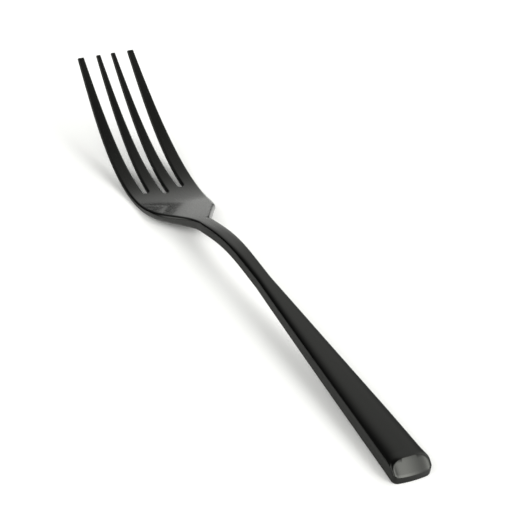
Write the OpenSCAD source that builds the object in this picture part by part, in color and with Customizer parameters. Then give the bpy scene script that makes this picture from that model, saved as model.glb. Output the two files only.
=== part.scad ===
// Dinner fork in black-coated steel: four tines, a plain root with squared shoulders,
// a narrow neck and a wedge-shaped handle whose crowned top is cut off by a slanted
// facet at the end. The head is butt welded to the handle at the neck.
// Every point of the fork is first placed on a straight blank, at a distance s from the
// handle end, a distance x from the middle and a height n above the middle surface, and
// then bent along the side profile.

/* [Side profile] */
// Length along the middle of the fork, from the handle end to the tips of the tines
fork_len = 213.6; // [200:0.1:230]
// Rise of the handle above the table, in degrees
handle_rise = 3.76; // [2.5:0.01:4.5]
// Extra rise that the handle gains over its straight part, in degrees
handle_bow = 0.84; // [0:0.01:2]
// Distance from the handle end at which the neck starts to bend down
crest_start = 93.6; // [89:0.1:98]
// Length of the downward bend
crest_len = 27.6; // [24:0.1:32]
// Turn of the downward bend, in degrees
crest_turn = 17.5; // [14:0.1:21]
// Distance from the handle end at which the root stops sloping down and bends up
belly_start = 145; // [141:0.1:149]
// Length over which the upward bend of the tines would fade out
belly_len = 88.2; // [80:0.1:98]
// Turn of the upward bend, in degrees
belly_turn = 52.3; // [46:0.1:58]

/* [Handle] */
// Length of the handle along its middle, up to the weld
handle_len = 124; // [118:0.1:125.5]
// Width of the handle at its end
end_w = 11.6; // [8:0.1:16]
// Thickness of the handle at its end
end_t = 4.84; // [3.8:0.01:6]
// Width of the handle at its narrowest place
waist_w = 4.5; // [3.6:0.1:6]
// Distance from the handle end to the narrowest place
waist_at = 85.8; // [80:0.1:100]
// Width of the neck where it meets the shoulders
neck_w = 5.2; // [4.6:0.1:8]
// Thickness of the neck
neck_t = 3.16; // [2.6:0.01:4]
// Height of the crown on top of the handle at its end
crown_h = 0.5; // [0.1:0.01:0.8]
// Radius of the long edges of the handle
handle_edge_r = 0.78; // [0.3:0.01:1.1]

/* [Handle end] */
// Forward bulge of the end outline
end_bulge = 0.6; // [0:0.05:1.5]
// Radius of the upright corners of the end
end_corner_r = 1.3; // [0.4:0.05:2.5]
// Height of the slanted facet that cuts the crowned top
facet_h = 2.7; // [1.5:0.05:3]
// Length of the slanted facet along the handle
facet_len = 3.1; // [0.8:0.05:4]
// Depth of the small flat under the end, on which the handle rests
rest_flat_d = 0.08; // [0.04:0.01:0.2]

/* [Head] */
// Distance from the handle end to the relief notches at the neck
notch_at = 126.4; // [126:0.1:129]
// Width of a relief notch along the fork
notch_len = 1.4; // [0.8:0.1:2]
// Depth of a relief notch into the neck
notch_d = 0.5; // [0.1:0.05:0.8]
// Distance from the handle end to the outer ends of the slanted shoulders
shoulder_at = 138; // [134:0.1:142]
// Width of the head across the outer ends of the shoulders
shoulder_w = 18.5; // [15:0.1:21]
// Extra width that each side of the head gains between the shoulder and the tip
side_bulge = 2.3; // [1:0.05:3]
// Width of the head across the tips of the tines
tips_w = 19.7; // [17:0.1:24]
// Thickness of the root
root_t = 2.08; // [1.8:0.01:3]
// Thickness of the tines from their bend to their tips
tine_t = 1.2; // [1.1:0.01:2]
// Distance from the handle end at which the tines reach their own thickness
tine_thin_at = 177.9; // [168:0.1:190]
// Radius of the edges of the root and the tines
tine_edge_r = 0.62; // [0.2:0.01:0.64]
// Radius at the tip of a tine
tip_r = 0.3; // [0.1:0.05:0.5]

/* [Slots] */
// Distance from the handle end to the closed ends of the two outer slots
outer_slot_at = 156.9; // [152:0.1:161]
// Distance from the handle end to the closed end of the middle slot
mid_slot_at = 155; // [151:0.1:159]
// Offset of an outer slot from the middle at its closed end
outer_slot_x = 6.1; // [5.6:0.05:7]
// Offset of an outer slot from the middle at the tips
outer_slot_tip_x = 5.6; // [5.4:0.05:6.6]
// Width of an outer slot at its closed end
outer_slot_w = 1.6; // [1.2:0.05:2.2]
// Width of an outer slot at the tips
outer_slot_tip_w = 4.7; // [3.6:0.05:5]
// Width of the middle slot at its closed end
mid_slot_w = 1.4; // [1.2:0.05:2.2]
// Width of the middle slot at the tips
mid_slot_tip_w = 4; // [3:0.05:4.2]

/* [Hidden] */

// Steps of the side profile, and columns and edge points of a section
path_steps = 280;
step_len = fork_len / path_steps;
cols = 3;
fingers = 4;
handle_cols = cols * fingers;
edge_angles = [-90, -60, -30, 0];
edge_n = len(edge_angles);

// Powers by which the taper bends, the side bulge is skewed, the crown falls towards the
// edges and the upward bend fades out
taper_share = 0.95;
skew_share = 0.57;
crown_fall_share = 3.5;
fade_share = 3;
// One half, and the largest share of a bar's half size that the radius of its edges takes
half_share = 0.5;
round_share = 0.88;

// An S-shaped step from 0 to 1
function ease(u) = let (c = min(max(u, 0), 1)) c * c * (3 - 2 * c);
function mix(a, b, u) = a + (b - a) * u;
function clamp01(u) = min(max(u, 0), 1);
// A step from 0 to 1 that starts at its full rate and fades out
function fade(u) = 1 - pow(1 - clamp01(u), fade_share);

// Slope of the fork at the distance s, in degrees
function heading(s) = handle_rise
    + handle_bow * clamp01(s / crest_start)
    - crest_turn * ease((s - crest_start) / crest_len)
    + belly_turn * fade((s - belly_start) / belly_len);

// The side profile, found by adding up short steps along the slope
path = [for (i = 0, p = [0, 0]; i <= path_steps;
    p = p + step_len * [cos(heading((i + half_share) * step_len)),
                        sin(heading((i + half_share) * step_len))],
    i = i + 1) p];

function place(s) = let (
    f = s / step_len,
    i = min(max(floor(f), 0), path_steps - 1))
    path[i] + (path[i + 1] - path[i]) * (f - i);

// A point of the straight blank carried to its place on the bent fork
function bend(x, s, n) = let (p = place(s), a = heading(s))
    [x, p[0] - n * sin(a), p[1] + n * cos(a)];

// Half thickness at the distance s
function half_t(s) = let (
    bar = mix(end_t, neck_t, clamp01(s / notch_at)),
    root = (root_t - neck_t) * ease((s - notch_at) / (outer_slot_at - notch_at)),
    thin_from = (notch_at + outer_slot_at) * half_share,
    tine = (tine_t - root_t) * ease((s - thin_from) / (tine_thin_at - thin_from)))
    (bar + root + tine) / 2;

// Half width of the handle and the neck at the distance s
function handle_half_w(s) =
    (waist_w
    + (end_w - waist_w) * pow(clamp01(1 - s / waist_at), taper_share)
    + (neck_w - waist_w) * ease((s - waist_at) / (notch_at - waist_at))) / 2;

// Half width of the head at the distance s: neck, relief notch, slanted shoulder, bowed side
return_at = notch_at + notch_len;
function head_half_w(s) =
    s < notch_at ? handle_half_w(s) :
    s < return_at ? neck_w / 2 - notch_d * sin(180 * (s - notch_at) / notch_len) :
    s < shoulder_at ? mix(neck_w, shoulder_w, (s - return_at) / (shoulder_at - return_at)) / 2 :
    let (u = (s - shoulder_at) / (fork_len - shoulder_at))
    mix(shoulder_w, tips_w, u) / 2 + side_bulge * sin(180 * pow(u, skew_share));

// Height of the crown and radius of the long edges at the distance s
function crown(s) = crown_h * handle_half_w(s) / (end_w / 2)
    * (1 - ease((s - waist_at) / (shoulder_at - waist_at)));
// Share of the crown's height at the share u of the way from the middle to the edge
function crown_share(u) = 1 - pow(min(abs(u), 1), crown_fall_share);
function edge_r(s) = mix(handle_edge_r, tine_edge_r, ease((s - notch_at) / (shoulder_at - notch_at)));

// Offset from the middle and half width of a slot at the distance s
function slot_u(s, at) = clamp01((s - at) / (fork_len - at));
function outer_x(s) = mix(outer_slot_x, outer_slot_tip_x, slot_u(s, outer_slot_at));
function slot_half_w(s, at, w0, w1) = let (
    full = mix(w0, w1, slot_u(s, at)) / 2,
    r = w0 / 2,
    d = r - clamp01((s - at) / r) * r)
    s <= at ? 0 : s < at + r ? full * sqrt(max(1 - d * d / (r * r), 0)) : full;
function outer_half(s) = slot_half_w(s, outer_slot_at, outer_slot_w, outer_slot_tip_w);
function mid_half(s) = slot_half_w(s, mid_slot_at, mid_slot_w, mid_slot_tip_w);

// One edge of a section, from the bottom up, as [distance in from the edge, height].
// Where round is 0 the edge is an upright line, where it is 1 it is fully rounded.
function edge_line(h, r, round, low) = let (
    n = 2 * edge_n + 1,
    arcs = concat(
        [for (a = edge_angles) [r - r * cos(a), -h + r + r * sin(a)]],
        [[0, low]],
        [for (i = [edge_n - 1:-1:0]) [r - r * cos(edge_angles[i]), h - r - r * sin(edge_angles[i])]]))
    [for (i = [0:n - 1]) [arcs[i][0] * round, mix(mix(-h, h, i / (n - 1)), arcs[i][1], round)]];
edge_pts = 2 * edge_n + 1;

// A ring of nodes: bottom row left to right, right edge up, top row right to left, left edge down
function ring_size(c) = 2 * (c + 1) + 2 * (edge_pts - 2);

/* Handle */

facet_low = end_t / 2 - facet_h;
function ring_low(h) = h * facet_low / (end_t / 2);

// A section of the handle of half width w and half thickness h, as [x, height] pairs
function handle_section(w, h, r, c) = let (
    e = edge_line(h, r, 1, ring_low(h)),
    wr = w - e[0][0])
    concat(
        [for (i = [0:handle_cols]) [mix(-wr, wr, i / handle_cols), -h]],
        [for (i = [1:edge_pts - 2]) [w - e[i][0], e[i][1]]],
        [for (i = [handle_cols:-1:0]) let (u = 2 * i / handle_cols - 1) [u * wr, h + c * crown_share(u)]],
        [for (i = [edge_pts - 2:-1:1]) [e[i][0] - w, e[i][1]]]);

// How far back from the end a point lies on the end outline and the facet
function end_back(x, n) = end_bulge * pow(2 * x / end_w, 2)
    + facet_len * max((n - facet_low) / facet_h, 0);

corner_steps = 4;
body_steps = 40;
body_from = end_bulge + end_corner_r + facet_len * (1 + crown_h / facet_h) + handle_edge_r;

// The rings round the upright corners of the end, then the plain rings of the bar
handle_rings = concat(
    [for (k = [0:corner_steps]) let (
        a = 90 * k / corner_steps,
        w = end_w / 2 - end_corner_r * (1 - sin(a)),
        back = end_corner_r * (1 - cos(a)))
        [for (p = handle_section(w, end_t / 2, handle_edge_r, crown_h))
            bend(p[0], back + end_back(p[0], p[1]), p[1])]],
    [for (k = [0:body_steps]) let (s = mix(body_from, handle_len, k / body_steps))
        [for (p = handle_section(handle_half_w(s), half_t(s), edge_r(s), crown(s)))
            bend(p[0], s, p[1])]]);

handle_ring_n = ring_size(handle_cols);

// Inner points of the end face, in rows between the two edges
end_section = handle_section(end_w / 2 - end_corner_r, end_t / 2, handle_edge_r, crown_h);
end_rows = [for (i = [1:edge_pts - 2]) let (p = end_section[handle_cols + i])
    [for (j = [1:handle_cols - 1]) let (x = p[0] * (2 * j / handle_cols - 1))
        bend(x, end_back(x, p[1]), p[1])]];

handle_points = concat(
    [for (ring = handle_rings) for (p = ring) p],
    [for (row = end_rows) for (p = row) p]);

function handle_id(i, k) = i * handle_ring_n + k % handle_ring_n;
row_base = len(handle_rings) * handle_ring_n;

// Point j of row i on the end face, where row 0 is the bottom and the last row is the top
function end_id(i, j) =
    i == 0 ? handle_id(0, j) :
    i == edge_pts - 1 ? handle_id(0, handle_cols + edge_pts - 1 + handle_cols - j) :
    j == 0 ? handle_id(0, handle_ring_n - i) :
    j == handle_cols ? handle_id(0, handle_cols + i) :
    row_base + (i - 1) * (handle_cols - 1) + j - 1;

function quad(a, b, c, d) = [[a, c, b], [a, d, c]];

// Triangles that close a ring of point numbers with c columns, with the rounded edges asked for
function cap(ring, c, right, left) = let (t0 = c + edge_pts - 1, l0 = t0 + c, n = len(ring))
    concat(
        [for (j = [0:c - 1]) for (t = [
            [ring[j], ring[j + 1], ring[l0 - j - 1]],
            [ring[j], ring[l0 - j - 1], ring[l0 - j]]]) t],
        [if (right) for (k = [c:t0 - 2]) [ring[t0], ring[k], ring[k + 1]]],
        [if (left) for (k = [l0 + 1:n - 1]) [ring[l0], ring[k], ring[(k + 1) % n]]]);
function flip(faces) = [for (t = faces) [t[0], t[2], t[1]]];

handle_faces = concat(
    [for (i = [0:len(handle_rings) - 2]) for (k = [0:handle_ring_n - 1])
        for (t = quad(handle_id(i, k), handle_id(i + 1, k),
            handle_id(i + 1, k + 1), handle_id(i, k + 1))) t],
    [for (i = [0:edge_pts - 2]) for (j = [0:handle_cols - 1])
        for (t = quad(end_id(i, j), end_id(i, j + 1),
            end_id(i + 1, j + 1), end_id(i + 1, j))) t],
    cap([for (k = [0:handle_ring_n - 1]) handle_id(len(handle_rings) - 1, k)], handle_cols, true, true));

/* Head */

// Distances from the handle end at which the head has a section
slot_steps = 5;
function slot_stations(at, r) = [for (k = [0:slot_steps]) at + r * (1 - cos(90 * k / slot_steps))];
mid_end = mid_slot_at + mid_slot_w / 2;
outer_end = outer_slot_at + outer_slot_w / 2;
tine_steps = 20;
tip_steps = 3;
root_steps = 6;
notch_steps = 4;
return_steps = 8;
tine_end = fork_len - tip_r;
station = concat(
    [handle_len, mix(handle_len, notch_at, half_share)],
    [for (k = [0:notch_steps]) notch_at + notch_len * k / notch_steps],
    [for (k = [1:return_steps]) mix(return_at, shoulder_at, k / return_steps)],
    [for (k = [1:root_steps - 1]) mix(shoulder_at, mid_slot_at, k / root_steps)],
    slot_stations(mid_slot_at, mid_slot_w / 2),
    [mix(mid_end, outer_slot_at, half_share)],
    slot_stations(outer_slot_at, outer_slot_w / 2),
    [for (k = [1:tine_steps]) mix(outer_end, tine_end, k / tine_steps)],
    [for (k = [1:tip_steps]) tine_end + tip_r * sin(90 * k / tip_steps)]);
last = len(station) - 1;
tip_from = last - tip_steps;
mid_split = 2 + notch_steps + 1 + return_steps + root_steps - 1;
outer_split = mid_split + slot_steps + 2;

// Lines that part the four fingers of the head, also through the root
function part_x(j, s) =
    j == 2 ? 0 :
    (j - 2) * (s < outer_slot_at ?
        outer_slot_x * head_half_w(s) / head_half_w(outer_slot_at) : outer_x(s));
function split_of(j) = j == 2 ? mid_split : outer_split;
function gap_of(j, s) = j == 2 ? mid_half(s) : outer_half(s);
function gap_full(j, s) = j == 2 ? mid_slot_w / 2 : outer_slot_w / 2;

// Side j of the fingers at station i, as [x, share of the full rounding]
function side(j, i, sign) = let (s = station[i])
    j == 0 ? [-head_half_w(s), 1] :
    j == fingers ? [head_half_w(s), 1] :
    i <= split_of(j) ? [(j == 2 ? 0 : sign_of(j)) * abs_x(j, s), 0] :
    [(j == 2 ? 0 : sign_of(j)) * abs_x(j, s) + sign * gap_of(j, s),
        clamp01(gap_of(j, s) / gap_full(j, s))];
function sign_of(j) = j < 2 ? -1 : 1;
function abs_x(j, s) = abs(part_x(j, s));

ring_n = ring_size(cols);

// Section of finger f at station i, drawn in at the tip
function finger_ring(f, i) = let (
    s = station[i],
    k = max(i - tip_from, 0),
    inset = tip_r * (1 - cos(90 * k / tip_steps)),
    h = half_t(s) - inset * half_share,
    left = side(f, i, 1),
    right = side(f + 1, i, -1),
    xl = left[0] + inset,
    xr = right[0] - inset,
    r = min(edge_r(s), h * round_share, (xr - xl) / 2 * round_share),
    el = edge_line(h, r, left[1], 0),
    er = edge_line(h, r, right[1], 0),
    wt = head_half_w(s) - r,
    c = crown(s))
    concat(
        [for (j = [0:cols]) bend(mix(xl + el[0][0], xr - er[0][0], j / cols), s, -h)],
        [for (j = [1:edge_pts - 2]) bend(xr - er[j][0], s, er[j][1])],
        [for (j = [cols:-1:0]) let (x = mix(xl + el[0][0], xr - er[0][0], j / cols))
            bend(x, s, h + c * crown_share(x / wt))],
        [for (j = [edge_pts - 2:-1:1]) bend(xl + el[j][0], s, el[j][1])]);

head_points = [for (f = [0:fingers - 1]) for (i = [0:last]) for (p = finger_ring(f, i)) p];

// Marks of a ring: where the right edge, the top row and the left edge begin
right_from = cols;
top_from = cols + edge_pts - 1;
left_from = top_from + cols;

// Number of a point, where the left side of a finger is shared with its neighbour in the root
function head_id(f, i, k0) = let (
    k = k0 % ring_n,
    shared = f > 0 && i <= split_of(f) && (k == 0 || k >= left_from))
    shared ? ((f - 1) * (last + 1) + i) * ring_n + (k == 0 ? right_from : top_from + left_from - k)
    : (f * (last + 1) + i) * ring_n + k;

function inner_wall(f, i, k) =
    (k >= right_from && k < top_from && f < fingers - 1 && i < split_of(f + 1)) ||
    (k >= left_from && f > 0 && i < split_of(f));

head_faces = concat(
    [for (f = [0:fingers - 1]) for (i = [0:last - 1]) for (k = [0:ring_n - 1])
        if (!inner_wall(f, i, k))
            for (t = quad(head_id(f, i, k), head_id(f, i + 1, k),
                head_id(f, i + 1, k + 1), head_id(f, i, k + 1))) t],
    [for (f = [0:fingers - 1]) for (t = flip(cap(
        [for (k = [0:ring_n - 1]) head_id(f, 0, k)], cols, f == fingers - 1, f == 0))) t],
    [for (f = [0:fingers - 1]) for (t = cap(
        [for (k = [0:ring_n - 1]) head_id(f, last, k)], cols, true, true)) t]);

// The origin lies under the middle of the fork, on the surface that it rests on
all_points = concat(handle_points, head_points);
mid_y = (max([for (p = all_points) p[1]]) + min([for (p = all_points) p[1]])) / 2;
low_z = min([for (p = handle_points) p[2]]) + rest_flat_d;
origin = [0, mid_y, low_z];

module handle() {
    color([0.13, 0.13, 0.14])
        difference() {
            polyhedron(points = [for (p = handle_points) p - origin], faces = handle_faces);
            translate([-end_w, -fork_len / 2, -end_t])
                cube([2 * end_w, handle_len / 2, end_t]);
        }
}

module head() {
    color([0.15, 0.15, 0.16])
        polyhedron(points = [for (p = head_points) p - origin], faces = head_faces);
}

handle();
head();
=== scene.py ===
"""Looks of a black-coated dinner fork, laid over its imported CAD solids.

The fork is worked out on a straight blank, at a distance s from the handle end, a distance x
from the middle and a height n above the middle surface, and then bent along its side profile.
Sizes of the blank are in millimetres, and every mesh is in metres. In the blank's sizes _len is
a length, _w a width, _t a thickness, _h a height, _d a depth, _r a radius, and _at, _from and _to
are distances s.
"""

import logging
import math
from dataclasses import dataclass, field
from enum import Enum

import bpy
import numpy as np
from mathutils import Matrix, Vector


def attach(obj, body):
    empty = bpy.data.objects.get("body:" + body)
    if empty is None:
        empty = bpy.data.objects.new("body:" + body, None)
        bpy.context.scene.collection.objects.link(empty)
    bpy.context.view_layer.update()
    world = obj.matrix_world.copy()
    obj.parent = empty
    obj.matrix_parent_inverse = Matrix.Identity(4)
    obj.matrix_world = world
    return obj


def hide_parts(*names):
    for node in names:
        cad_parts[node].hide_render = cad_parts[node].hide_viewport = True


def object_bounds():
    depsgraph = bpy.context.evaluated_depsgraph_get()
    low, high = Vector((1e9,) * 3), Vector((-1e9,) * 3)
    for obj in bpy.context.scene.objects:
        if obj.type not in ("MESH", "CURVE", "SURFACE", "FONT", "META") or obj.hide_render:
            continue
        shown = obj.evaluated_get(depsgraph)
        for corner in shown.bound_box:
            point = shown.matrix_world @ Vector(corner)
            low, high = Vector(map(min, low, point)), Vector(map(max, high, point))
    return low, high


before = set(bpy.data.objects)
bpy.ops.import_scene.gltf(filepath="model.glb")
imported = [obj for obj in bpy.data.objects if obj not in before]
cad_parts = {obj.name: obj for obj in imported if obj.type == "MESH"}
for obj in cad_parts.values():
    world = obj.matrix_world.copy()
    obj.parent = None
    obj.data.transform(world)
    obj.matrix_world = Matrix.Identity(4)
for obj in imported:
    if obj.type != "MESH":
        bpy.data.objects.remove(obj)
CAD_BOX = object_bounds()

logging.basicConfig(level=logging.INFO, format="%(name)s: %(message)s")
LOG = logging.getLogger("fork")

Array = np.ndarray
MM = 0.001
SAME_PLACE = 1e-6
CREASE = math.radians(20.0)


def ease(u: Array) -> Array:
    """S-shaped step from 0 to 1: the clamped u squared, times three less twice u.

    Args:
        u: places along the step.

    Returns:
        Height of the step at each place.
    """
    c = np.clip(u, 0.0, 1.0)
    return c * c * (3.0 - 2.0 * c)


def mix(a: Array, b: Array, u: Array) -> Array:
    """Straight blend: a, plus u times the step from a to b."""
    return a + (b - a) * u


def fillet_drop(distance: Array, radius: Array) -> Array:
    """How far a rounded edge lies below the face: radius less the height of its arc.

    Args:
        distance: distance in from the outline.
        radius: radius of the edge.

    Returns:
        The drop, which is the radius on the outline and 0 from one radius inwards.
    """
    u = 1.0 - np.clip(distance / radius, 0.0, 1.0)
    return radius * (1.0 - np.sqrt(np.maximum(1.0 - u * u, 0.0)))


@dataclass(frozen=True)
class Blank:
    """Side profile that the straight blank is bent along, with its thickness."""

    fork_len: float = 213.6
    handle_rise: float = 3.76
    handle_bow: float = 0.84
    crest_start: float = 93.6
    crest_len: float = 27.6
    crest_turn: float = 17.5
    belly_start: float = 145.0
    belly_len: float = 88.2
    belly_turn: float = 52.3
    fade_power: float = 3.0
    end_t: float = 4.84
    neck_t: float = 3.16
    root_t: float = 2.08
    tine_t: float = 1.2
    notch_at: float = 126.4
    outer_slot_at: float = 156.9
    tine_thin_at: float = 177.9
    rest_flat_d: float = 0.08
    steps: int = 280

    def fade(self, u: Array) -> Array:
        """Step from 0 to 1 that starts at its full rate: one less a power of what is left.

        Args:
            u: place on the step, from 0 to 1.

        Returns:
            Height of the step.
        """
        return 1.0 - (1.0 - np.clip(u, 0.0, 1.0)) ** self.fade_power

    def heading(self, s: Array) -> Array:
        """Slope in radians: the handle's rise and bow, less the crest's turn, plus the belly's.

        Args:
            s: distances along the blank.

        Returns:
            Slope of the middle surface at each distance.
        """
        degrees = (
            self.handle_rise
            + self.handle_bow * np.clip(s / self.crest_start, 0.0, 1.0)
            - self.crest_turn * ease((s - self.crest_start) / self.crest_len)
            + self.belly_turn * self.fade((s - self.belly_start) / self.belly_len)
        )
        return np.radians(degrees)

    def place(self, s: Array) -> tuple[Array, Array]:
        """Point of the side profile: the sum of short steps along the slope, read between them.

        Args:
            s: distances along the blank.

        Returns:
            Distance along the table and height, for each s.
        """
        step = self.fork_len / self.steps
        slope = self.heading((np.arange(self.steps) + 0.5) * step)
        along = np.concatenate([[0.0], np.cumsum(step * np.cos(slope))])
        up = np.concatenate([[0.0], np.cumsum(step * np.sin(slope))])
        knots = np.arange(self.steps + 1) * step
        return np.interp(s, knots, along), np.interp(s, knots, up)

    def half_t(self, s: Array) -> Array:
        """Half thickness: a tapering bar, thinned by one step at the root and one at the tines.

        Args:
            s: distances along the blank.

        Returns:
            Half thickness at each distance.
        """
        bar = mix(self.end_t, self.neck_t, np.clip(s / self.notch_at, 0.0, 1.0))
        root = (self.root_t - self.neck_t) * ease(
            (s - self.notch_at) / (self.outer_slot_at - self.notch_at)
        )
        thin_from = (self.notch_at + self.outer_slot_at) / 2.0
        tine = (self.tine_t - self.root_t) * ease(
            (s - thin_from) / (self.tine_thin_at - thin_from)
        )
        return (bar + root + tine) / 2.0

    def bend(self, x: Array, s: Array, n: Array) -> Array:
        """Carry points of the blank to the fork: the profile's point, plus n along its normal.

        Args:
            x: distances from the middle.
            s: distances along the blank.
            n: heights above the middle surface.

        Returns:
            Points in millimetres, before the origin is taken off.
        """
        along, up = self.place(s)
        slope = self.heading(s)
        x = np.broadcast_to(x, np.broadcast(x, s, n).shape)
        return np.stack([x, along - n * np.sin(slope), up + n * np.cos(slope)], axis=-1)


@dataclass
class Shell:
    """A closed mesh in the making: grids of points, and quads between them."""

    points: list[Array] = field(default_factory=list)
    quads: list[Array] = field(default_factory=list)
    count: int = 0

    def grid(self, points: Array, flip: bool = False) -> None:
        """Add a grid of points and the quads between its neighbours.

        Args:
            points: array of rows by columns by 3.
            flip: turn the faces over.
        """
        rows, cols = points.shape[:2]
        ids = self.count + np.arange(rows * cols).reshape(rows, cols)
        quads = np.stack([ids[:-1, :-1], ids[:-1, 1:], ids[1:, 1:], ids[1:, :-1]], axis=-1)
        if flip:
            quads = quads[..., ::-1]
        self.points.append(points.reshape(-1, 3))
        self.quads.append(quads.reshape(-1, 4))
        self.count += rows * cols

    def welded(self, tolerance: float = 1e-4) -> tuple[Array, Array]:
        """Merge points that share a place, and drop faces that this leaves with no area.

        Args:
            tolerance: size in millimetres of the cells that points are sorted into.

        Returns:
            The points, and the faces as rows of four numbers, where a triangle repeats one.
        """
        points = np.concatenate(self.points)
        quads = np.concatenate(self.quads)
        cells = np.round(points / tolerance).astype(np.int64)
        _, first, group = np.unique(cells, axis=0, return_index=True, return_inverse=True)
        quads = group.reshape(-1)[quads]
        same = quads == np.roll(quads, -1, axis=1)
        quads = quads[same.sum(axis=1) < 2]
        diagonal = (quads[:, 0] == quads[:, 2]) | (quads[:, 1] == quads[:, 3])
        return points[first], quads[~diagonal]


def mesh_object(name: str, points: Array, quads: Array) -> bpy.types.Object:
    """Make a smooth mesh object at the scene's origin.

    Args:
        name: the piece's name.
        points: points in millimetres.
        quads: faces, where a triangle repeats a number.

    Returns:
        The new object.
    """
    faces = [tuple(dict.fromkeys(q)) for q in quads.tolist()]
    mesh = bpy.data.meshes.new(name)
    mesh.from_pydata((points * MM).tolist(), [], faces)
    mesh.polygons.foreach_set("use_smooth", np.ones(len(mesh.polygons), dtype=bool))
    mesh.set_sharp_from_angle(angle=CREASE)
    mesh.validate()
    mesh.update()
    piece = bpy.data.objects.new(name, mesh)
    bpy.context.scene.collection.objects.link(piece)
    return piece


@dataclass(frozen=True)
class Handle:
    """The neck and the wedge-shaped grip, with its crown, its facet and its rounded end."""

    blank: Blank
    handle_len: float = 124.0
    end_w: float = 11.75
    waist_w: float = 4.65
    waist_at: float = 85.8
    taper_share: float = 0.95
    neck_w: float = 5.3
    shoulder_at: float = 138.0
    crown_h: float = 0.5
    crown_power: float = 3.5
    edge_radius: float = 0.78
    tine_edge_r: float = 0.62
    end_bulge: float = 0.6
    corner_r: float = 1.05
    end_top_r: float = 1.25
    end_top_len: float = 26.0
    facet_h: float = 2.7
    facet_len: float = 3.1
    facet_lift: float = 0.7
    facet_power: float = 6.0
    upright_shares: tuple[float, ...] = (0.35, 0.7, 0.9)
    slope_rounds: int = 12
    edge_steps: int = 10
    corner_steps: int = 8
    bar_steps: int = 240
    cols: int = 48

    def half_w(self, s: Array) -> Array:
        """Half width: the waist, plus the grip's taper, plus the neck's gentle flare.

        Args:
            s: distances along the blank.

        Returns:
            Half width at each distance.
        """
        b = self.blank
        grip = np.clip(1.0 - s / self.waist_at, 0.0, 1.0) ** self.taper_share
        neck = ease((s - self.waist_at) / (b.notch_at - self.waist_at))
        width = (
            self.waist_w
            + (self.end_w - self.waist_w) * grip
            + (self.neck_w - self.waist_w) * neck
        )
        return width / 2.0

    def crown(self, s: Array) -> Array:
        """Height of the crown: a share of the width, fading from the waist to the shoulders."""
        fade = 1.0 - ease((s - self.waist_at) / (self.shoulder_at - self.waist_at))
        return self.crown_h * self.half_w(s) / (self.end_w / 2.0) * fade

    def edge_r(self, s: Array) -> Array:
        """Radius of the long edges, which eases into that of the tines over the neck stub.

        Args:
            s: distances along the blank.

        Returns:
            Radius at each distance.
        """
        b = self.blank
        share = ease((s - b.notch_at) / (self.shoulder_at - b.notch_at))
        return mix(self.edge_radius, self.tine_edge_r, share)

    def top_r(self, s: Array) -> Array:
        """Radius of the top's long edges, which grows over the last stretch to the end."""
        near_end = 1.0 - ease(s / self.end_top_len)
        return self.edge_r(s) + (self.end_top_r - self.edge_radius) * near_end

    def section(self, w: Array, h: Array, r: Array, t: Array, c: Array) -> tuple[Array, Array]:
        """Rings of a rounded bar with a crowned top, from the bottom's left edge round.

        The crown is a height times one less a power of the place across. It runs into the arc
        of the top's edge at the arc's own slope, which a few half-way substitutions find. One
        row of the upright sides lies where the facet's lower edge ends.

        Args:
            w: half widths.
            h: half thicknesses.
            r: radii of the bottom's edges.
            t: radii of the top's edges.
            c: crown heights.

        Returns:
            Distances across and heights, as rows of ring points.
        """
        w, h, r, t, c = (np.asarray(v, dtype=float)[:, None] for v in (w, h, r, t, c))
        slope = 0.0 * w
        for _ in range(self.slope_rounds):
            reach = w - t + t * np.sin(slope)
            rise = c + t * (1.0 - np.cos(slope))
            slope = np.arctan(rise * self.crown_power / reach) * 0.5 + slope * 0.5
        turn = np.linspace(0.0, 1.0, self.edge_steps + 1)[None, :]
        low_turn, top_turn = turn * np.pi / 2, turn * (np.pi / 2 - slope)
        low = h * (2.0 * (self.facet_low() + self.facet_lift) / self.blank.end_t)
        share = np.array([self.upright_shares])
        upright = np.concatenate(
            [mix(r - h, low, share), low, mix(low, h - t, 1.0 - share[:, ::-1])], axis=1
        )
        edge_x = np.concatenate(
            [w - r + r * np.sin(low_turn), w + 0 * upright, w - t + t * np.cos(top_turn)], axis=1
        )
        edge_n = np.concatenate(
            [r - h - r * np.cos(low_turn), upright, h - t + t * np.sin(top_turn)], axis=1
        )
        u = np.linspace(-1.0, 1.0, self.cols + 1)[None, :]
        flat, across = u * (w - r), u * reach
        top = h + c - rise * np.abs(u) ** self.crown_power
        x = np.concatenate([flat, edge_x[:, 1:-1], across[:, ::-1], -edge_x[:, -2:0:-1]], axis=1)
        n = np.concatenate(
            [-h + 0 * flat, edge_n[:, 1:-1], top[:, ::-1], edge_n[:, -2:0:-1]], axis=1
        )
        return x, n

    def facet_low(self) -> float:
        """Height of the facet's lower edge above the middle surface."""
        return self.blank.end_t / 2.0 - self.facet_h

    def lift(self, x: Array) -> Array:
        """Height by which the facet's lower edge rises to its ends: a power of the place."""
        return self.facet_lift * np.abs(2.0 * x / self.end_w) ** self.facet_power

    def end_back(self, x: Array, n: Array) -> Array:
        """How far back the end lies: a parabola across, plus the facet's slope in its height.

        Args:
            x: distances from the middle.
            n: heights above the middle surface.

        Returns:
            Distance from the handle's foremost point, along the blank.
        """
        bulge = self.end_bulge * (2.0 * x / self.end_w) ** 2
        above = np.maximum(n - self.facet_low() - self.lift(x), 0.0) / self.facet_h
        return bulge + self.facet_len * above

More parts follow.
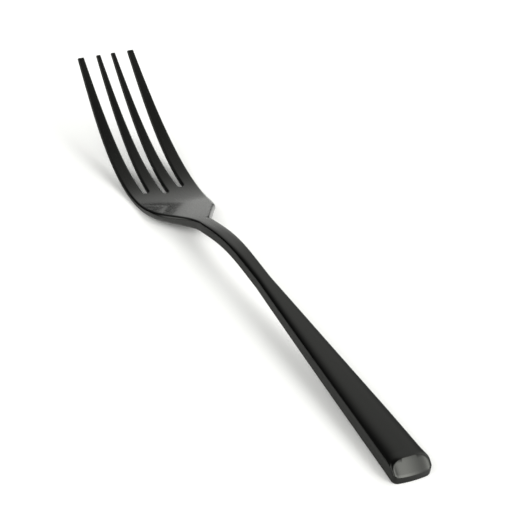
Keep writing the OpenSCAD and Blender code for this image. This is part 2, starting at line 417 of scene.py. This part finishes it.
    def surface(self) -> tuple[Array, Array]:
        """Loft the rings of the end's upright corners and of the bar, and close both ends.

        Returns:
            The points in millimetres and the faces.
        """
        b = self.blank
        turn = np.linspace(0.0, np.pi / 2, self.corner_steps + 1)
        ones = np.ones_like(turn)
        end_x, end_n = self.section(
            self.end_w / 2.0 - self.corner_r * (1.0 - np.sin(turn)),
            b.end_t / 2.0 * ones,
            self.edge_radius * ones,
            self.end_top_r * ones,
            self.crown_h * ones,
        )
        back = self.corner_r * (1.0 - np.cos(turn))[:, None]
        corner = b.bend(end_x, back + self.end_back(end_x, end_n), end_n)
        bar_from = (
            self.end_bulge
            + self.corner_r
            + self.facet_len * (1.0 + self.crown_h / self.facet_h)
            + self.edge_radius
        )
        s = np.linspace(bar_from, self.handle_len, self.bar_steps + 1)
        x, n = self.section(
            self.half_w(s), b.half_t(s), self.edge_r(s), self.top_r(s), self.crown(s)
        )
        bar = b.bend(x, np.broadcast_to(s[:, None], x.shape), n)
        rings = np.concatenate([corner, bar])
        shell = Shell()
        shell.grid(np.concatenate([rings, rings[:, :1]], axis=1), flip=True)
        bottom, _, top, _ = self.ring_sides(rings[0])
        end = self.end_rows(self.ring_sides(end_x[0])[1], self.ring_sides(end_n[0])[1])
        shell.grid(np.concatenate([bottom[None], end, top[None]]))
        bottom, right, top, left = self.ring_sides(rings[-1])
        u = np.linspace(0.0, 1.0, self.cols + 1)[None, :, None]
        joint = mix(left[:, None, :], right[:, None, :], u)
        shell.grid(np.concatenate([bottom[None], joint, top[None]]), flip=True)
        return shell.welded()

    def ring_sides(self, ring: Array) -> tuple[Array, Array, Array, Array]:
        """Part a ring into its four sides, each running from left to right or from low to high.

        Args:
            ring: points or numbers of one ring.

        Returns:
            The bottom, the right edge, the top and the left edge.
        """
        side = 2 * self.edge_steps + 2 * len(self.upright_shares) + 1
        ends = np.cumsum([self.cols + 1, side, self.cols + 1])
        bottom, right, top, left = np.split(ring, ends)
        return bottom, right, top[::-1], left[::-1]

    def end_rows(self, edge_x: Array, edge_n: Array) -> Array:
        """Rows of the end face and the facet, sunk in the middle to the facet's lower edge.

        Args:
            edge_x: distances from the middle of the end's right edge.
            edge_n: heights of the end's right edge.

        Returns:
            Points as rows by columns by 3.
        """
        across = edge_x[:, None] * np.linspace(-1.0, 1.0, self.cols + 1)[None, :]
        half, low = self.blank.end_t / 2.0, self.facet_low() + self.facet_lift
        near = 1.0 - np.abs(edge_n - low) / np.where(edge_n > low, half - low, half + low)
        sink = self.lift(edge_x[:, None]) - self.lift(across)
        height = edge_n[:, None] - sink * np.clip(near, 0.0, 1.0)[:, None]
        return self.blank.bend(across, self.end_back(across, height), height)


@dataclass(frozen=True)
class Head:
    """Four tines, the root, the slanted shoulders with their notches, and the neck stub."""

    blank: Blank
    handle: Handle
    notch_len: float = 1.4
    notch_d: float = 0.5
    shoulder_w: float = 18.5
    side_bulge: float = 2.249
    skew_share: float = 0.57
    tips_w: float = 20.0
    mid_slot_at: float = 155.0
    outer_slot_x: float = 6.1
    outer_slot_tip_x: float = 5.6
    outer_slot_w: float = 1.6
    outer_slot_tip_w: float = 4.4
    mid_slot_w: float = 1.4
    mid_slot_tip_w: float = 3.75
    corner_soft: float = 0.3
    left_soft: float = 2.4
    left_soft_from: float = 124.0
    left_soft_rise: float = 3.0
    left_soft_to: float = 152.0
    left_soft_fall: float = 8.0
    outline_from: float = 100.0
    outline_margin: float = 12.0
    outline_step: float = 0.05
    bell_reach: float = 4.0
    root_round: float = 0.9
    nick_d: float = 0.3
    nick_w: float = 0.32
    nick_reach: float = 2.2
    tip_r: float = 0.35
    tines: int = 4
    edge_zone: float = 1.3
    edge_zone_share: float = 0.95
    notch_margin: float = 0.6
    return_margin: float = 0.8
    shoulder_margin: float = 1.2
    slot_margin: float = 1.0
    slot_lead: float = 0.6
    least_gap: float = 0.012
    round_steps: int = 9
    edge_cols: int = 12
    flat_cols: int = 6
    wall_rows: int = 3

    def sharp_half_w(self, s: Array, depth: float) -> Array:
        """Half width with sharp corners: neck, sine-shaped notch, slanted return, bowed side.

        Args:
            s: distances along the blank.
            depth: depth of the notch.

        Returns:
            Half width at each distance.
        """
        b, grip = self.blank, self.handle
        return_at = b.notch_at + self.notch_len
        shoulder_at = grip.shoulder_at
        notch = grip.neck_w / 2.0 - depth * np.sin(
            np.pi * (s - b.notch_at) / self.notch_len
        )
        slant = (
            mix(grip.neck_w, self.shoulder_w, (s - return_at) / (shoulder_at - return_at)) / 2.0
        )
        u = np.clip((s - shoulder_at) / (b.fork_len - shoulder_at), 0.0, 1.0)
        side = mix(self.shoulder_w, self.tips_w, u) / 2.0 + self.side_bulge * np.sin(
            np.pi * u**self.skew_share
        )
        return np.select(
            [s < b.notch_at, s < return_at, s < shoulder_at],
            [grip.half_w(s), notch, slant],
            side,
        )

    def softened(self, soft: float, depth: float) -> tuple[Array, Array]:
        """Outline with its corners softened: a bell-weighted mean of the sharp one along s.

        Args:
            soft: spread of the bell.
            depth: depth of the notch.

        Returns:
            Distances along the blank, and the half width at each.
        """
        step, tips = self.outline_step, self.blank.fork_len
        knots = np.arange(self.outline_from, tips + self.outline_margin, step)
        sharp = self.sharp_half_w(np.minimum(knots, tips), depth)
        count = round(self.bell_reach * soft / step)
        bell = np.exp(-0.5 * (np.arange(-count, count + 1) * step / soft) ** 2)
        width = np.convolve(sharp, bell / bell.sum(), mode="same")
        return knots, np.where(knots < self.outline_from + self.outline_margin, sharp, width)

    def half_w(self, s: Array, x: Array | float = 1.0) -> Array:
        """Half width on the side that x is on: its corners are softer on the left.

        Args:
            s: distances along the blank.
            x: distances from the middle, of which only the sign counts.

        Returns:
            Half width at each distance.
        """
        knots, right = self.softened(self.corner_soft, self.notch_d)
        _, left = self.softened(self.left_soft, 0.0)
        rise = ease((knots - self.left_soft_from) / self.left_soft_rise)
        fall = ease((knots - self.left_soft_to + self.left_soft_fall) / self.left_soft_fall)
        left = mix(right, left, rise * (1.0 - fall))
        return np.where(np.asarray(x) < 0.0, np.interp(s, knots, left), np.interp(s, knots, right))

    def slot_u(self, s: Array, at: float) -> Array:
        """Share of the way from a slot's closed end to the tips."""
        return np.clip((s - at) / (self.blank.fork_len - at), 0.0, 1.0)

    def part_x(self, j: int, s: Array) -> Array:
        """Line j between two tines: the slot's middle, which fans out with the root's width.

        Args:
            j: 1 and 3 for the outer slots, 2 for the middle one.
            s: distances along the blank.

        Returns:
            Distance of the line from the middle.
        """
        if j == 2:
            return 0.0 * s
        at = self.blank.outer_slot_at
        root = self.outer_slot_x * self.half_w(s, j - 2) / self.half_w(np.array([at]))[0]
        slot = mix(self.outer_slot_x, self.outer_slot_tip_x, self.slot_u(s, at))
        return (j - 2) * np.where(s < at, root, slot)

    def slot(self, j: int) -> tuple[float, float, float]:
        """Look up the sizes of a slot.

        Args:
            j: 1 and 3 for the outer slots, 2 for the middle one.

        Returns:
            Where its closed end lies, and its width there and at the tips.
        """
        if j == 2:
            return self.mid_slot_at, self.mid_slot_w, self.mid_slot_tip_w
        return self.blank.outer_slot_at, self.outer_slot_w, self.outer_slot_tip_w

    def slot_half(self, j: int, s: Array) -> Array:
        """Half width of slot j: a straight taper, closed by a half round of its first width.

        Args:
            j: the slot.
            s: distances along the blank.

        Returns:
            Half width at each distance, 0 in the root.
        """
        at, w0, w1 = self.slot(j)
        full = mix(w0, w1, self.slot_u(s, at)) / 2.0
        r = w0 / 2.0
        d = np.clip(r - (s - at), 0.0, r)
        return np.where(s <= at, 0.0, full * np.sqrt(np.maximum(1.0 - (d / r) ** 2, 0.0)))

    def slot_distance(self, j: int, x: Array, s: Array) -> Array:
        """Distance in plan from slot j: to its half round below it, to its sides beyond.

        Args:
            j: the slot.
            x: distances from the middle.
            s: distances along the blank.

        Returns:
            Distance outside the slot's outline.
        """
        at, w0, w1 = self.slot(j)
        r = w0 / 2.0
        across = np.abs(x - self.part_x(j, s))
        centre = at + r
        round_end = np.hypot(across, s - centre) - r
        sides = across - mix(w0, w1, self.slot_u(s, at)) / 2.0
        return np.maximum(np.where(s < centre, round_end, sides), 0.0)

    def outline_distance(self, x: Array, s: Array) -> Array:
        """Distance in plan from the outline: the least of side, slots and rounded tip.

        Args:
            x: distances from the middle.
            s: distances along the blank.

        Returns:
            Distance inside the outline.
        """
        step = self.outline_step
        slope = (self.half_w(s + step, x) - self.half_w(s - step, x)) / (2.0 * step)
        side = (self.half_w(s, x) - np.abs(x)) / np.sqrt(1.0 + slope**2)
        near = [np.maximum(side, 0.0)]
        near += [self.slot_distance(j, x, s) for j in range(1, self.tines)]
        least = np.minimum.reduce(near)
        tip = self.blank.fork_len - s
        r = self.tip_r
        corner = r - np.hypot(np.maximum(r - least, 0.0), np.maximum(r - tip, 0.0))
        return np.maximum(np.where(tip < r, corner, least), 0.0)

    def stations(self) -> Array:
        """Distances along the blank at which the head has a section, closer at its turns.

        Returns:
            Sorted distances.
        """
        b, grip = self.blank, self.handle
        spans = (
            (grip.handle_len, 0),
            (b.notch_at - self.notch_margin, 10),
            (b.notch_at + self.notch_len + self.return_margin, 30),
            (grip.shoulder_at - self.shoulder_margin, 36),
            (grip.shoulder_at + self.shoulder_margin, 20),
            (self.mid_slot_at - self.slot_margin, 30),
            (b.outer_slot_at + 2.0 * self.slot_margin, 24),
            (b.fork_len - self.slot_margin, 120),
        )
        groups = [
            np.linspace(low, high, count) for (low, _), (high, count) in zip(spans, spans[1:])
        ]
        turn = np.linspace(0.0, np.pi / 2, self.round_steps + 1)
        for at, w in ((self.mid_slot_at, self.mid_slot_w), (b.outer_slot_at, self.outer_slot_w)):
            groups.append(at + w / 2.0 * (1.0 - np.cos(turn)))
            groups.append(at - self.slot_lead * (1.0 - np.cos(turn)))
        groups.append(b.fork_len - self.tip_r * (1.0 - np.sin(turn)))
        s = np.unique(np.round(np.concatenate(groups), 4))
        keep = np.concatenate([[True], np.diff(s) > self.least_gap])
        for at in (self.mid_slot_at, b.outer_slot_at, b.fork_len, grip.handle_len):
            keep |= np.isclose(s, at, rtol=0.0, atol=SAME_PLACE)
        return s[keep]

    def columns(self, tine: int, s: Array) -> Array:
        """Columns of a tine and its share of the root, closer near the two sides.

        The sides are drawn in round the tip's corners by a quarter round.

        Args:
            tine: number of the tine, from the left.
            s: stations.

        Returns:
            Distances across, as stations by columns.
        """
        b, last = self.blank, self.tines - 1
        w = self.half_w(s, tine - last / 2.0)
        left = -w if tine == 0 else self.part_x(tine, s) + self.slot_half(tine, s)
        right = w if tine == last else self.part_x(tine + 1, s) - self.slot_half(tine + 1, s)
        tip = np.maximum(self.tip_r - (b.fork_len - s), 0.0)
        inset = self.tip_r - np.sqrt(np.maximum(self.tip_r**2 - tip**2, 0.0))
        left, right = left + inset, right - inset
        turn = np.linspace(0.0, np.pi / 2, self.edge_cols + 1)
        r = np.minimum(self.edge_zone, (right - left) / 2.0 * self.edge_zone_share)[:, None]
        near = r * (1.0 - np.cos(turn))[None, :]
        inner_l, inner_r = left[:, None] + r, right[:, None] - r
        u = np.linspace(0.0, 1.0, self.flat_cols + 2)[None, 1:-1]
        return np.concatenate(
            [left[:, None] + near, mix(inner_l, inner_r, u), (right[:, None] - near)[:, ::-1]],
            axis=1,
        )

    def nick(self, x: Array, s: Array) -> Array:
        """Groove across the top from the right notch: a bell in s, fading out inwards.

        Args:
            x: distances from the middle.
            s: distances along the blank.

        Returns:
            Depth of the groove.
        """
        middle = self.blank.notch_at + self.notch_len / 2.0
        inside = ease((x - self.handle.neck_w / 2.0 + self.nick_reach) / self.nick_reach)
        return self.nick_d * inside * np.exp(-0.5 * ((s - middle) / self.nick_w) ** 2)

    def surface(self) -> tuple[Array, Array]:
        """Skin the top and the bottom of each tine with its share of the root, and its walls.

        The top is half the thickness, plus the handle's fading crown, less the rounded edge's
        drop and the groove. The bottom is half the thickness down, with the same rounded edge.

        Returns:
            The points in millimetres and the faces.
        """
        b, grip = self.blank, self.handle
        s = self.stations()
        half = b.half_t(s)[:, None]
        rounded = ease((s - b.notch_at) / (grip.shoulder_at - b.notch_at))
        radius = mix(grip.edge_r(s), self.root_round * b.half_t(s), rounded)[:, None]
        crown = grip.crown(s)[:, None]
        shell = Shell()
        for tine in range(self.tines):
            x = self.columns(tine, s)
            along = np.broadcast_to(s[:, None], x.shape)
            drop = fillet_drop(self.outline_distance(x, along), radius)
            wide = self.half_w(along, x) - radius
            fall = np.minimum(np.abs(x / wide), 1.0) ** grip.crown_power
            top = half + crown * (1.0 - fall) - drop - self.nick(x, along)
            bottom = -half + drop
            shell.grid(b.bend(x, along, top))
            shell.grid(b.bend(x, along, bottom), flip=True)
            self.add_sides(shell, tine, s, x, bottom, top)
            self.add_ends(shell, s, x, bottom, top)
        return shell.welded()

    def add_sides(
        self, shell: Shell, tine: int, s: Array, x: Array, bottom: Array, top: Array
    ) -> None:
        """Add the upright walls of a tine: beside a slot from its closed end on, else all along.

        Args:
            shell: mesh in the making.
            tine: number of the tine, from the left.
            s: stations.
            x: distances across, as stations by columns.
            bottom: heights of the bottom.
            top: heights of the top.
        """
        u = np.linspace(0.0, 1.0, self.wall_rows + 1)[None, :]
        for column, line, turned in ((0, tine, True), (-1, tine + 1, False)):
            at = self.slot(line)[0] if 0 < line < self.tines else self.handle.handle_len
            kept = s >= at - SAME_PLACE
            edge_s = np.broadcast_to(s[kept][:, None], (kept.sum(), self.wall_rows + 1))
            edge_x = np.broadcast_to(x[kept, column][:, None], edge_s.shape)
            wall = mix(bottom[kept, column][:, None], top[kept, column][:, None], u)
            shell.grid(self.blank.bend(edge_x, edge_s, wall), flip=turned)

    def add_ends(self, shell: Shell, s: Array, x: Array, bottom: Array, top: Array) -> None:
        """Add the upright walls at the joint with the handle and at the tip.

        Args:
            shell: mesh in the making.
            s: stations.
            x: distances across, as stations by columns.
            bottom: heights of the bottom.
            top: heights of the top.
        """
        u = np.linspace(0.0, 1.0, self.wall_rows + 1)[:, None]
        for row, turned in ((0, False), (-1, True)):
            upright = mix(bottom[row][None, :], top[row][None, :], u)
            across = np.broadcast_to(x[row][None, :], upright.shape)
            level = np.full(upright.shape, s[row])
            shell.grid(self.blank.bend(across, level, upright), flip=turned)


class Socket:
    """A node socket that takes part in Python expressions by adding Math nodes."""

    def __init__(self, tree: bpy.types.NodeTree, link: bpy.types.NodeSocket) -> None:
        """Keep the tree and the socket.

        Args:
            tree: the node tree.
            link: the output socket.
        """
        self.tree = tree
        self.link = link

    def _math(self, operation: str, *values: "Socket | float") -> "Socket":
        """Add one Math node on these values."""
        return add_node(self.tree, "ShaderNodeMath", {"operation": operation}, *values)

    def __add__(self, other: "Socket | float") -> "Socket":
        """Sum."""
        return self._math("ADD", self, other)

    def __sub__(self, other: "Socket | float") -> "Socket":
        """Difference."""
        return self._math("SUBTRACT", self, other)

    def __rsub__(self, other: "Socket | float") -> "Socket":
        """Reflected difference."""
        return self._math("SUBTRACT", other, self)

    def __mul__(self, other: "Socket | float") -> "Socket":
        """Product."""
        return self._math("MULTIPLY", self, other)

    def magnitude(self) -> "Socket":
        """Value without its sign."""
        return self._math("ABSOLUTE", self)

    def exponential(self) -> "Socket":
        """Euler's number to the power of the value."""
        return self._math("EXPONENT", self)

    def above(self, span: tuple[float, float]) -> "Socket":
        """Smooth share of the way across a span."""
        step = {"interpolation_type": "SMOOTHSTEP"}
        return add_node(self.tree, "ShaderNodeMapRange", step, self, *span, 0.0, 1.0)

    __radd__ = __add__
    __rmul__ = __mul__


def add_node(
    tree: bpy.types.NodeTree, kind: str, settings: dict[str, object], *values: object, out: int = 0
) -> Socket:
    """Add a node, set it, and feed its sockets in order.

    Args:
        tree: the node tree.
        kind: the node's type.
        settings: its settings, made before the sockets are fed.
        *values: values or sockets for its inputs, where None leaves one alone.
        out: number of the output that is handed back.

    Returns:
        The chosen output.
    """
    node = tree.nodes.new(kind)
    for name, value in settings.items():
        setattr(node, name, value)
    for socket, value in zip(node.inputs, values):
        if isinstance(value, Socket):
            tree.links.new(value.link, socket)
        elif value is not None:
            socket.default_value = value
    return Socket(tree, node.outputs[out])


class Reading(Enum):
    """Output of a Texture Coordinate node."""

    DIRECTION = 0
    NORMAL = 1
    PLACE = 3

    def read(self, tree: bpy.types.NodeTree) -> Socket:
        """Add the node and hand back this output."""
        return add_node(tree, "ShaderNodeTexCoord", {}, out=self.value)


class Axis(Enum):
    """Axis of the fork in the shared frame."""

    ACROSS = 0
    ALONG = 1
    UP = 2

    def part(self, vector: Socket) -> Socket:
        """Take a vector's part along the axis."""
        return add_node(vector.tree, "ShaderNodeSeparateXYZ", {}, vector, out=self.value)


@dataclass(frozen=True)
class Noise:
    """A noise pattern: cells to the metre, layers beyond the first, and how strong these are."""

    scale: float
    detail: float
    roughness: float

    def over(self, place: Socket) -> Socket:
        """Spread the pattern over the places that are read."""
        values = (None, self.scale, self.detail, self.roughness)
        return add_node(place.tree, "ShaderNodeTexNoise", {}, place, *values)


@dataclass(frozen=True)
class Coating:
    """Thin satin black coating over rubbed steel.

    The sides are rougher than the flats, the root and the facet are buffed to a second, clearer
    sheen, and faint scratches lie across the rubbing lines. Spans are in metres along the fork,
    or in shares of a unit normal.
    """

    name: str
    colour: tuple[float, float, float] = (0.002, 0.002, 0.00205)
    specular: float = 0.25
    tint: tuple[float, float, float] = (0.98, 1.0, 0.93)
    roughness: float = 0.12
    root_roughness: float = 0.22
    root_span: tuple[float, float] = (0.012, 0.03)
    side_roughness: float = 0.54
    side_span: tuple[float, float] = (0.8, 0.98)
    buffed: float = 0.55
    buffed_roughness: float = 0.12
    fade_span: tuple[float, float] = (0.041, 0.06)
    facet_buffed: float = 0.18
    facet_span: tuple[float, float] = (-0.1, -0.0985)
    slant_span: tuple[float, float] = (0.35, 0.6)
    level_span: tuple[float, float] = (0.85, 0.95)
    line_scale: tuple[float, float, float] = (900.0, 40.0, 900.0)
    lines: Noise = Noise(1.0, 4.0, 0.6)
    line_gloss: float = 0.08
    line_height: float = 0.6
    cloud: Noise = Noise(60.0, 3.0, 0.5)
    cloud_gloss: float = 0.06
    cloud_tone: float = 0.4
    specks: Noise = Noise(2600.0, 2.0, 0.5)
    speck_tone: float = 0.5
    speck_height: float = 0.4
    scratch_turn: float = 0.45
    scratch_scale: tuple[float, float, float] = (3200.0, 130.0, 1200.0)
    scratches: Noise = Noise(1.0, 2.0, 0.5)
    scratch_span: tuple[float, float] = (0.62, 0.74)
    scratch_gloss: float = 0.12
    scratch_height: float = 0.3
    bump_strength: float = 0.12
    bump_depth: float = 0.00002

    def material(self) -> bpy.types.Material:
        """Build the material: its colour, gloss, second sheen and fine relief.

        Returns:
            The new material.
        """
        made = bpy.data.materials.new(self.name)
        made.use_nodes = True
        tree = made.node_tree
        shader = tree.nodes["Principled BSDF"]
        place = Reading.PLACE.read(tree)
        lines = self.lines.over(self.stretched(place, 0.0, self.line_scale))
        skewed = self.stretched(place, self.scratch_turn, self.scratch_scale)
        scratches = self.scratches.over(skewed).above(self.scratch_span)
        cloud, specks = self.cloud.over(place), self.specks.over(place)
        normal, along = Reading.NORMAL.read(tree), Axis.ALONG.part(place)
        root = along.above(self.root_span)
        side = Axis.ACROSS.part(normal).magnitude().above(self.side_span)
        gloss = (
            self.roughness
            + root * (self.root_roughness - self.roughness)
            + side * (self.side_roughness - self.roughness)
            + scratches * self.scratch_gloss
            + (lines - 0.5) * self.line_gloss
            + (cloud - 0.5) * self.cloud_gloss
        )
        tone = 1.0 + (specks - 0.5) * self.speck_tone + (cloud - 0.5) * self.cloud_tone
        height = (
            lines * self.line_height
            + specks * self.speck_height
            - scratches * self.scratch_height
        )
        relief = add_node(
            tree, "ShaderNodeBump", {}, self.bump_strength, self.bump_depth, 1.0, height
        )
        for name, socket in (
            ("Base Color", self.shaded(tone)),
            ("Roughness", gloss),
            ("Coat Weight", self.sheen(root, along, Axis.UP.part(normal))),
            ("Normal", relief),
        ):
            tree.links.new(socket.link, shader.inputs[name])
        shader.inputs["Coat Roughness"].default_value = self.buffed_roughness
        shader.inputs["Specular IOR Level"].default_value = self.specular
        shader.inputs["Specular Tint"].default_value = (*self.tint, 1.0)
        return made

    def stretched(self, place: Socket, turn: float, scale: tuple[float, float, float]) -> Socket:
        """Turn a place about the upright axis and scale it.

        Args:
            place: the place that is read.
            turn: angle in radians.
            scale: cells to the metre, across, along and up.

        Returns:
            The place in cells.
        """
        kind = {"vector_type": "POINT"}
        return add_node(
            place.tree, "ShaderNodeMapping", kind, place, None, (0.0, 0.0, turn), scale
        )

    def shaded(self, tone: Socket) -> Socket:
        """Multiply the coating's colour by a grey tone.

        Args:
            tone: the tone, 1 leaving the colour as it is.

        Returns:
            The colour.
        """
        grey = add_node(tone.tree, "ShaderNodeCombineColor", {}, tone, tone, tone)
        kind = {"data_type": "RGBA", "blend_type": "MULTIPLY"}
        unused = (None,) * 5
        colour = (*self.colour, 1.0)
        return add_node(tone.tree, "ShaderNodeMix", kind, 1.0, *unused, colour, grey, out=2)

    def sheen(self, root: Socket, along: Socket, rise: Socket) -> Socket:
        """Share of the second sheen: on the root up to the slots, and less on the facet.

        The facet is where the normal is neither upright nor level, at the very end.

        Args:
            root: share of the way on to the root.
            along: distance along the fork.
            rise: upward part of the normal.

        Returns:
            The share.
        """
        slant = rise.above(self.slant_span) - rise.above(self.level_span)
        facet = slant - slant * along.above(self.facet_span)
        return (root - along.above(self.fade_span)) * self.buffed + facet * self.facet_buffed


@dataclass(frozen=True)
class Glow:
    """A wide soft light far away: strength times exp(sharpness (cos a - 1)), a off its middle."""

    azimuth: float
    elevation: float
    sharpness: float
    strength: float

    def light(self, way: Socket) -> Socket:
        """Add the nodes of the glow.

        Args:
            way: direction that is looked along.

        Returns:
            Light that comes from that direction, angles being measured from +Y towards +X.
        """
        az, el = math.radians(self.azimuth), math.radians(self.elevation)
        middle = (math.sin(az) * math.cos(el), math.cos(az) * math.cos(el), math.sin(el))
        product = {"operation": "DOT_PRODUCT"}
        cosine = add_node(way.tree, "ShaderNodeVectorMath", product, way, middle, out=1)
        return ((cosine - 1.0) * self.sharpness).exponential() * self.strength


@dataclass(frozen=True)
class Studio:
    """Pale floor, soft light all round, and the camera at the photograph's place."""

    azimuth: float = 0.50754
    elevation: float = 0.55998
    roll: float = 0.07173
    distance: float = 0.512528
    lens: float = 122.33
    sensor: float = 36.0
    nearest: float = 0.01
    farthest: float = 50.0
    target: tuple[float, float, float] = (0.001954, -0.008616, 0.011915)
    floor_reach: float = 8.0
    floor_tone: float = 0.97
    floor_roughness: float = 0.9
    floor_specular: float = 0.1
    even_light: float = 0.004
    light_tint: tuple[float, float, float] = (0.995, 1.0, 0.973)
    glows: tuple[Glow, ...] = (
        Glow(161.0, 32.0, 34.0, 9.0),
        Glow(133.0, 34.0, 14.5, 1.05),
        Glow(269.0, 45.0, 14.2, 1.93),
        Glow(71.0, 45.0, 14.7, 1.51),
        Glow(21.0, 36.0, 20.0, 1.10),
        Glow(150.0, 45.0, 30.0, 2.75),
        Glow(212.0, 31.0, 40.0, 6.6),
        Glow(270.0, 30.0, 20.0, 2.84),
        Glow(90.0, 25.0, 15.0, 1.56),
        Glow(24.0, 2.0, 60.0, 0.76),
        Glow(34.0, 12.0, 50.0, 0.38),
        Glow(40.0, 6.0, 50.0, 0.3),
        Glow(24.0, 20.0, 40.0, 0.28),
    )

    def camera(self) -> None:
        """Place the camera: back from the target along its two angles, then rolled."""
        az, el = self.azimuth, self.elevation
        back = Vector((-np.sin(az) * np.cos(el), -np.cos(az) * np.cos(el), np.sin(el)))
        right = (-back).cross(Vector((0, 0, 1))).normalized()
        up = right.cross(-back).normalized()
        c, s = np.cos(self.roll), np.sin(self.roll)
        turned_right, turned_up = right * c + up * s, up * c - right * s
        data = bpy.data.cameras.new("photo_camera")
        data.lens, data.sensor_width, data.sensor_fit = self.lens, self.sensor, "HORIZONTAL"
        data.clip_start, data.clip_end = self.nearest, self.farthest
        eye = Vector(self.target) + back * self.distance
        turn = Matrix((turned_right, turned_up, back)).transposed().to_4x4()
        holder = bpy.data.objects.new("photo_camera", data)
        holder.matrix_world = Matrix.Translation(eye) @ turn
        bpy.context.scene.collection.objects.link(holder)
        bpy.context.scene.camera = holder

    def floor(self) -> None:
        """Lay a wide pale floor just under the fork."""
        reach = self.floor_reach
        mesh = bpy.data.meshes.new("floor")
        corners = [(-reach, -reach, 0), (reach, -reach, 0), (reach, reach, 0), (-reach, reach, 0)]
        mesh.from_pydata(corners, [], [(0, 1, 2, 3)])
        paint = bpy.data.materials.new("pale_floor")
        paint.use_nodes = True
        shader = paint.node_tree.nodes["Principled BSDF"]
        shader.inputs["Base Color"].default_value = (self.floor_tone,) * 3 + (1.0,)
        shader.inputs["Roughness"].default_value = self.floor_roughness
        shader.inputs["Specular IOR Level"].default_value = self.floor_specular
        mesh.materials.append(paint)
        ground = bpy.data.objects.new("floor", mesh)
        bpy.context.scene.collection.objects.link(ground)

    def air(self) -> None:
        """Fill the air with soft light: a faint even part plus the sum of the glows."""
        world = bpy.data.worlds.new("studio_air")
        bpy.context.scene.world = world
        world.use_nodes = True
        tree = world.node_tree
        way = Reading.DIRECTION.read(tree)
        total = self.even_light + self.glows[0].light(way)
        for glow in self.glows[1:]:
            total = total + glow.light(way)
        backdrop = tree.nodes["Background"]
        tree.links.new(total.link, backdrop.inputs["Strength"])
        backdrop.inputs["Color"].default_value = (*self.light_tint, 1.0)

    def build(self) -> None:
        """Set up the whole studio, with plain colour handling."""
        self.camera()
        self.floor()
        self.air()
        view = bpy.context.scene.view_settings
        view.view_transform, view.look = "Standard", "None"
        view.exposure, view.gamma = 0.0, 1.0


@dataclass
class Fork:
    """The whole fork: both pieces on one blank, coated and tied to the frame."""

    blank: Blank = field(default_factory=Blank)

    def build(self) -> None:
        """Build the pieces, dress them and tie them to their nodes.

        The origin is half way along the fork, at the height of the flat on which the handle
        rests, and the handle is cut off there.
        """
        handle = Handle(self.blank)
        head = Head(self.blank, handle)
        (grip, grip_quads), (tines, tine_quads) = handle.surface(), head.surface()
        along = np.concatenate([grip[:, 1], tines[:, 1]])
        low = grip[:, 2].min() + self.blank.rest_flat_d
        origin = np.array([0.0, along.min() - CAD_BOX[0][1] / MM, low])
        grip[:, 2] = np.maximum(grip[:, 2], low)
        for node, slot, points, quads in (
            ("handle", "handle_coating", grip, grip_quads),
            ("head", "head_coating", tines, tine_quads),
        ):
            piece = mesh_object(f"{node}_coated", points - origin, quads)
            piece.data.materials.append(Coating(f"{node}_satin_black").material())
            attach(piece, "root")
            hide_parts(node)
            corners = np.array([v[:] for v in piece.bound_box])
            LOG.info(
                "%s: %d faces, from %s to %s mm",
                piece.name,
                len(piece.data.polygons),
                np.round(corners.min(axis=0) / MM, 3),
                np.round(corners.max(axis=0) / MM, 3),
            )


def main() -> None:
    """Build the studio and the fork, and note both boxes."""
    Studio().build()
    Fork().build()


if __name__ == "__main__":
    main()
